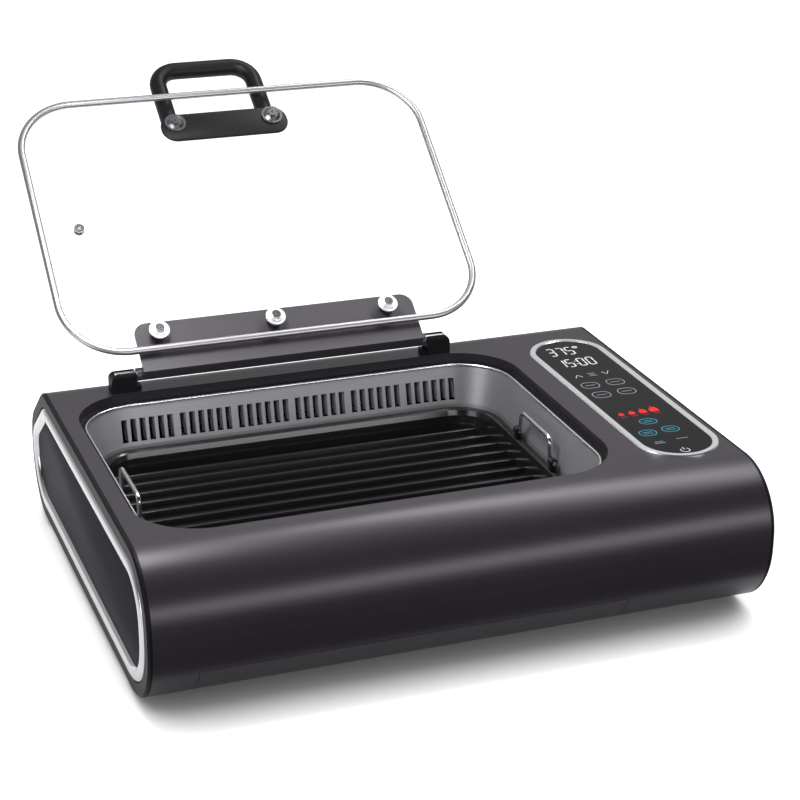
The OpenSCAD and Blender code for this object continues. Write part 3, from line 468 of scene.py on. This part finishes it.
# A slanted vane is lanced out of the rear wall beside each air slot, to turn the smoke in.
SLOT_PITCH, SLOTS, GROUP_PITCH, GROUPS = 8.7, 6, 55.7, 6
FIRST_SLOT = (-204.3, 24.1, 105.5)
VANE = (0.8, 5.4, 20.4)
WALL_LEAN, VANE_SLANT = -14.3, 20
shape = dict(
    pitch=SLOT_PITCH * MM, count=SLOTS, group=GROUP_PITCH * MM, groups=GROUPS,
    vane=tuple(v * MM for v in VANE), turn=(radians(WALL_LEAN), 0.0, radians(VANE_SLANT)),
    first=tuple(v * MM for v in FIRST_SLOT), material=steel,
)
tree, given = new_tree("vanes_beside_slots", **shape)
across = add(tree, "ShaderNodeCombineXYZ", {"X": given["group"]})
groups = add(tree, "GeometryNodeMeshLine", {
    "Count": given["groups"], "Start Location": given["first"], "Offset": across.outputs[0],
})
step = add(tree, "ShaderNodeCombineXYZ", {"X": given["pitch"]})
row = add(tree, "GeometryNodeMeshLine", {"Count": given["count"], "Offset": step.outputs[0]})
vane = add(tree, "GeometryNodeMeshCube", {"Size": given["vane"]})
vane = add(tree, "GeometryNodeTransform", {
    "Geometry": vane.outputs[0], "Rotation": given["turn"],
})
vanes = add(tree, "GeometryNodeInstanceOnPoints", {
    "Points": row.outputs[0], "Instance": vane.outputs[0],
})
rows = add(tree, "GeometryNodeInstanceOnPoints", {
    "Points": groups.outputs[0], "Instance": vanes.outputs[0],
})
finished(grown("slot_vanes", tree, rows.outputs[0], **shape), "body")

# Zinc coated sheet, whose spangle shows as patches of differing gloss.
sheet = surface("zinc_coated_sheet", "#a5a7a9", 7.14, (0.3, 0.48), detail=0,
                kind="ShaderNodeTexVoronoi", inputs={"Metallic": 1})
dress(sheet, "reflector_pan", "element_clips", "heat_shield", "temperature_probe")

# A steel sheath that heat has stained brown.
sheath = surface("heat_dulled_element_sheath", ("#4a423c", "#7a736d"), 14.3, 0.5, detail=4,
                 inputs={"Metallic": 1})
dress(sheath, "heating_element")

# ---- Blower ----
# A duct of dark grey plastic with faint flow marks, and its motor.
duct = surface("moulded_pps_duct", "#3a3b3d", 3.33, (0.45, 0.6), detail=3)
dress(duct, "blower_housing", "blower_motor")

# A long bladed wheel of black nylon with a soft sheen.
blades = surface("moulded_black_nylon", "#15191d", 2, (0.35, 0.5))
dress(blades, "blower_wheel")

# A bronze bearing, dull from its pores.
bronze = surface("sintered_bronze", "#a9773a", 0.4, 0.5, relief=(0.3, 0.1),
                 inputs={"Metallic": 1})
dress(bronze, "wheel_bearing")

# ---- Control panel ----
# A silver bezel, bright with a satin edge to its highlights.
satin = surface("satin_anodised_bezel", "#f3f3f5", 1.11, (0.2, 0.3), inputs={"Metallic": 1})
dress(satin, "control_bezel")

# One sheet of smooth black glass, over a display and touch marks that are lit from behind.
glassy = surface("black_touch_glass", "#0c0b0e", 33.3, (0.05, 0.12), detail=3,
                 inputs={"Specular IOR Level": 0.08})
dress(glassy, "control_glass", "display_module")


LIT_LEAST, LIT_MOST = 0.8, 1.2


def lit_material(name, colour, strength):
    """Print lit from behind by diodes, a little uneven as a light guide leaves it."""
    made, tree = new_material(name)
    place = add(tree, "ShaderNodeTexCoord").outputs["Object"]
    spots = add(tree, "ShaderNodeTexNoise", {
        "Vector": place, "Scale": per_metre(6.25), "Detail": 1,
    })
    power = add(tree, "ShaderNodeMapRange", {
        "Value": spots.outputs[0], 3: strength * LIT_LEAST, 4: strength * LIT_MOST,
    })
    return close_material(made, add(tree, "ShaderNodeBsdfPrincipled", {
        "Base Color": linear("#0c0c0e"), "Roughness": 0.3, "Specular IOR Level": 0.05,
        "Emission Color": linear(colour), "Emission Strength": power.outputs[0],
    }))


# Each mark is drawn in millimetres as strokes, and each stroke becomes a thin lit bar, whose
# middle is this much above the glass.
GLASS_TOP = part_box("control_glass")[1].z
MARKS_AT = (1.5, -103.7)
STROKE_H, STROKE_RISE, FLAME_RISE = 0.06, 0.04, 0.01
DIGIT_W, DIGIT_H, DIGIT_LEAN, STROKE_CUT = 6.2, 9.2, 0.5, 0.7
TEMPERATURE_Y, TIME_Y = 92.5, 61.5
SEGMENTS = {
    "a": ((0, 2), (1, 2)), "b": ((1, 2), (1, 1)), "c": ((1, 1), (1, 0)), "d": ((0, 0), (1, 0)),
    "e": ((0, 1), (0, 0)), "f": ((0, 2), (0, 1)), "g": ((0, 1), (1, 1)),
}
DIGITS = {"0": "abcdef", "1": "bc", "3": "abcdg", "5": "acdfg", "7": "abc"}


def digit(figure, x, y):
    """The strokes of a seven segment digit that leans a little, from its lower left corner."""
    strokes = []
    for key in DIGITS[figure]:
        ends = [Vector((x + across * DIGIT_W + up * DIGIT_LEAN, y + up * DIGIT_H))
                for across, up in SEGMENTS[key]]
        cut = (ends[1] - ends[0]).normalized() * STROKE_CUT
        strokes.append([ends[0] + cut, ends[1] - cut])
    return strokes


def pill(x, y, w=17, h=14, radius=6):
    outline = rounded(rectangle(x, y, w, h, radius), 0, 6)
    return [outline + outline[:1]]


def dashes(x, y, *widths, gap=3):
    """Level dashes about a middle, from the top one down."""
    top = y + gap * (len(widths) - 1) / 2
    return [[(x - w / 2, top - gap * i), (x + w / 2, top - gap * i)]
            for i, w in enumerate(widths)]


def arc(x, y, radius, start, end, steps=20):
    angles = [radians(start + (end - start) * k / steps) for k in range(steps + 1)]
    return [[(x + radius * cos(a), y + radius * sin(a)) for a in angles]]


def on_glass(x, y, height):
    """A drawn point a little above the glass, in metres."""
    return (x + MARKS_AT[0]) * MM, (y + MARKS_AT[1]) * MM, GLASS_TOP + height * MM


def drawn(name, strokes, width, material):
    """Lays strokes on the glass and grows a thin flat bar along each one."""
    bm = bmesh.new()
    for stroke in strokes:
        verts = [bm.verts.new(on_glass(x, y, STROKE_RISE)) for x, y in stroke]
        for near, far in zip(verts, verts[1:]):
            bm.edges.new((near, far))
    bmesh.ops.remove_doubles(bm, verts=bm.verts, dist=0.001 * MM)
    mesh = bpy.data.meshes.new(name)
    bm.to_mesh(mesh)
    bm.free()
    shape = dict(width=width * MM, height=STROKE_H * MM, material=material)
    tree, given = new_tree(name, **shape)
    curve = add(tree, "GeometryNodeMeshToCurve", {"Mesh": given["Drawing"]})
    level = add(tree, "GeometryNodeSetCurveNormal", {"Curve": curve.outputs[0]}, mode="Z_UP")
    section = add(tree, "GeometryNodeCurvePrimitiveQuadrilateral", {
        "Width": given["width"], "Height": given["height"],
    })
    bars = add(tree, "GeometryNodeCurveToMesh", {
        "Curve": level.outputs[0], "Profile Curve": section.outputs[0], "Fill Caps": True,
    })
    return finished(grown(name, tree, bars.outputs[0], mesh, **shape), "body")


# The temperature with its degree sign, and the time with its colon.
figures = digit("3", 206, TEMPERATURE_Y) + digit("7", 215.5, TEMPERATURE_Y)
figures += digit("5", 225, TEMPERATURE_Y) + arc(237, 109, 2, 0, 360)
figures += digit("1", 202.5, TIME_Y) + digit("5", 211.5, TIME_Y)
figures += digit("0", 223.5, TIME_Y) + digit("0", 233.2, TIME_Y)
figures += dashes(221.3, 70.5, 1.2, 1.2, gap=7)
drawn("lit_figures", figures, 1.5, lit_material("white_lit_figures", "#f4f4f6", 1))

# The arrows up and down, and the power sign.
signs = [[(204.2, 33), (207.8, 39.5), (211.4, 34)], [(233.6, 40), (236.8, 34), (240.6, 41)]]
signs += arc(222.6, -152.6, 4, -230, 50) + [[(222.6, -151.5), (222.6, -146.6)]]
drawn("lit_signs", signs, 1.1, lit_material("white_lit_signs", "#d8d8dc", 0.9))

# Four white keys and three teal ones, each a pill with dashes for its word, and dashes for
# the words that have no key.
faint = dashes(222.5, 37, 8, 6, 8) + dashes(209, -130.5, 8, 10) + dashes(232, -128, 11)
for x, y in ((209, 12), (235, 13), (209, -12.5), (235, -11.5)):
    faint += pill(x, y) + dashes(x, y, 10)
drawn("printed_outlines", faint, 0.75, lit_material("dim_printed_outlines", "#b9b7be", 0.85))
teal = []
for x, y in ((221, -84), (208.8, -108), (232, -106)):
    teal += pill(x, y, 16, 12) + dashes(x, y, 9, 9)
drawn("teal_outlines", teal, 1.3, lit_material("teal_lit_outlines", "#3d9db2", 0.75))

# Four flames that grow from left to right, each over a short underline.
FLAME = ((-0.5, 0), (-0.62, 0.3), (-0.42, 0.62), (-0.3, 0.5), (-0.05, 1), (0.12, 0.68),
         (0.3, 0.82), (0.55, 0.4), (0.45, 0))
FLAMES = ((205, 7.5), (215.7, 9), (226.8, 11), (238, 13))
FLAME_Y, FLAME_W, UNDERLINE_Y, UNDERLINE = -65, 0.62, -68.5, 6.5
bm = bmesh.new()
for x, size in FLAMES:
    rim = [bm.verts.new(on_glass(x + u * size * FLAME_W, FLAME_Y + v * size, FLAME_RISE))
           for u, v in FLAME]
    raised = bmesh.ops.extrude_face_region(bm, geom=[bm.faces.new(rim)])["geom"]
    tops = [v for v in raised if isinstance(v, bmesh.types.BMVert)]
    bmesh.ops.translate(bm, verts=tops, vec=(0, 0, STROKE_H * MM))
bmesh.ops.recalc_face_normals(bm, faces=bm.faces)
red = lit_material("red_lit_flames", "#ff2a1c", 1)
finished(mesh_object("lit_flames", bm, red), "body")
underlines = sum([dashes(x, UNDERLINE_Y, UNDERLINE) for x, _ in FLAMES], [])
drawn("flame_underlines", underlines, 1.6, lit_material("dim_red_underlines", "#b3261f", 0.7))

# Green boards, whose tracks show as a faint pattern of lighter green, and tan parts on them.
board = surface("green_circuit_board", ("#1d4a33", "#2e6b49"), 4.55, 0.4, detail=0,
                kind="ShaderNodeTexVoronoi", distance="MANHATTAN")
dress(board, "touch_board", "power_board")
parts, tree = new_material("mixed_board_parts")
close_material(parts, add(tree, "ShaderNodeBsdfPrincipled", {
    "Base Color": linear("#6a5f3a"), "Roughness": 0.45,
}))
dress(parts, "board_parts")

# ---- Lid ----
# Tempered glass that is clear from before it and mirrors the room only at a low angle. The
# mirror follows the angle alone, so that the inner faces don't turn to full mirrors.
MIRROR_LEAST, MIRROR_MORE, MIRROR_POWER = 0.015, 0.7, 5
clear, tree = new_material("tempered_clear_glass")
facing = add(tree, "ShaderNodeLayerWeight", {"Blend": 0.5}).outputs["Facing"]
edge = add(tree, "ShaderNodeMath", {0: facing, 1: MIRROR_POWER}, operation="POWER")
mirror = add(tree, "ShaderNodeMath", {0: edge.outputs[0], 1: MIRROR_MORE, 2: MIRROR_LEAST},
             operation="MULTIPLY_ADD")
through = add(tree, "ShaderNodeBsdfTransparent", {"Color": linear("#fbfbfb")})
shine = add(tree, "ShaderNodeBsdfPrincipled", {
    "Base Color": linear("#ffffff"), "Metallic": 1, "Roughness": 0.02,
})
close_material(clear, add(tree, "ShaderNodeMixShader", {
    0: mirror.outputs[0], 1: through.outputs[0], 2: shine.outputs[0],
}))
dress(clear, "lid_glass")

# Rolled steel, greyer and softer than the polished pieces.
rolled = surface("rolled_stainless_rim", "#a4a0a5", 8.33, (0.36, 0.42), inputs={"Metallic": 1})
dress(rolled, "hinge_rod", "basket_lugs")

# The lid is drawn flat, from its hinge: Y runs along it, and heights are towards its inside.
HINGE = (MIDDLE_Y + 143, 152.5)
OPEN = radians(37.5)
LID_X, LID_W, LID_NEAR, LID_D, LID_R = WELL_X, 415, 10, 296, 61
GLASS_Z, GLASS_T = 19.5, 4
BEAD_W, BEAD_H = 3.5, 3.1


def on_lid(point, height):
    """Turns a drawn point about the hinge, to where the lid stands open."""
    y = point[1] * cos(OPEN) - height * sin(OPEN)
    z = point[1] * sin(OPEN) + height * cos(OPEN)
    return Vector((point[0], HINGE[0] + y, HINGE[1] + z)) * MM


# The rim is a rolled bead that closes round the edge of the glass.
BEAD = [(BEAD_W - BEAD_W * cos(radians(a)), GLASS_Z + BEAD_H * sin(radians(a)))
        for a in range(0, 360, 15)]
LID = rectangle(LID_X, LID_NEAR + LID_D / 2, LID_W, LID_D, LID_R)
rim = mesh_object("rolled_lid_rim", lofted(LID, BEAD, on_lid), rolled)
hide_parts("lid_rim")
finished(rim, "lid", 40)

# A dark coat, a little lighter than the housing's, that spreads its highlights.
coated = surface("black_coated_bracket", "#322f35", 0.667, (0.38, 0.5))
dress(coated, "hinge_bracket")

# Polished steel wire and fasteners, bright with small sharp highlights.
polished = surface("polished_stainless", "#d9dadb", 3.33, (0.1, 0.2), detail=3,
                   inputs={"Metallic": 1})
dress(polished, "bracket_screws", "vent_grommet", "basket_bail_left", "basket_bail_right",
      "plate_bail_left", "plate_bail_right")

# Nickel plate that looks almost white in the light of the room.
plated = surface("bright_nickel_plate", "#d2d2d4", 1.11, (0.3, 0.42), inputs={"Metallic": 0.7})
dress(plated, "bracket_washers")

# Moulded phenolic, black and satin, that shows only soft highlights along its bar.
heatproof = surface("heatproof_phenolic", "#0a090b", 0.625, (0.42, 0.52), detail=3,
                    relief=(0.15, 0.05), inputs={"Specular IOR Level": 0.18})

# The handle is one moulded bar whose legs turn in to the glass, and a pad under its screws.
HANDLE_Y, HALF_SPAN, REACH, TILT = 265.5, 49.5, 84.5, radians(5)
BAR_R, FOOT_BEND, TOP_BEND = 8.5, 8.9, 21
GLASS_OUT, GLASS_IN = GLASS_Z - GLASS_T / 2, GLASS_Z + GLASS_T / 2
BAR_GAP, FOOT_GAP = 1.5, 1
BAR_Z = GLASS_OUT - BAR_R - BAR_GAP
FOOT_Z = GLASS_OUT - FOOT_GAP
PAD_W, PAD_D, PAD_R, PAD_SHIFT = 129, 32, 15, -5


def bent(path, steps=8):
    """The points along a path whose inner corners, each with its radius, are rounded."""
    points = [Vector(path[0][:3])]
    for last, (*here, radius), following in zip(path, path[1:], path[2:]):
        here = Vector(here)
        back = (Vector(last[:3]) - here).normalized()
        on = (Vector(following[:3]) - here).normalized()
        half = back.angle(on) / 2
        centre = here + (back + on).normalized() * radius / sin(half)
        start = here + back * radius / tan(half) - centre
        end = here + on * radius / tan(half) - centre
        points += [centre + start.slerp(end, k / steps) * radius for k in range(steps + 1)]
    return points + [Vector(path[-1][:3])]


def swept(points, radius, lay, sides=24):
    """A round bar along a row of points, closed at both ends."""
    loops, across = [], (points[1] - points[0]).orthogonal().normalized()
    for i, point in enumerate(points):
        last, following = points[max(i - 1, 0)], points[min(i + 1, len(points) - 1)]
        way = (following - last).normalized()
        across = (across - way * across.dot(way)).normalized()
        up = way.cross(across)
        spots = [point + radius * (across * cos(tau * k / sides) + up * sin(tau * k / sides))
                 for k in range(sides)]
        loops.append([lay(spot, spot.z) for spot in spots])
    return skinned(loops)


top_y, top_z = HANDLE_Y + REACH * cos(TILT), BAR_Z - REACH * sin(TILT)
left, right = LID_X - HALF_SPAN, LID_X + HALF_SPAN
BAR_PATH = (
    (left, HANDLE_Y, FOOT_Z), (left, HANDLE_Y, BAR_Z, FOOT_BEND), (left, top_y, top_z, TOP_BEND),
    (right, top_y, top_z, TOP_BEND), (right, HANDLE_Y, BAR_Z, FOOT_BEND), (right, HANDLE_Y, FOOT_Z),
)
bar = mesh_object("bent_handle_bar", swept(bent(BAR_PATH), BAR_R, on_lid), heatproof)
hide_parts("lid_handle")
finished(bar, "lid", 50)

# The pad lies inside the glass, on its gasket, with eased edges.
PAD = rectangle(LID_X, HANDLE_Y + PAD_SHIFT, PAD_W, PAD_D, PAD_R)
PAD_PROFILE = [(inset, GLASS_IN + height)
               for inset, height in ((0.3, 0), (0, 0.4), (0, 1.7), (0.3, 2.2), (0.9, 2.5))]
pad = mesh_object("handle_pad", lofted(PAD, PAD_PROFILE, on_lid, ring=False), heatproof)
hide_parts("handle_strip")
finished(pad, "lid", 40)

# Turned steel, dark with a sharp highlight round each washer's cone.
turned = surface("dark_turned_steel", "#77787b", 1.11, (0.22, 0.35), inputs={"Metallic": 1})
dress(turned, "handle_washers", "handle_screws")

# ---- Basket and grill plate ----
# A pressed steel basket with a blue-black coat of a soft gloss.
basket = surface("blue_black_nonstick", "#232b33", 0.833, (0.28, 0.4))
dress(basket, "crisper_basket")

# A cast plate with a glossy black coat, finely pitted as a cast surface leaves it.
enamel = surface("gloss_black_nonstick", "#121213", 0.909, (0.16, 0.26), relief=(0.15, 0.1),
                 inputs={"IOR": 1.5})
dress(enamel, "grill_plate")
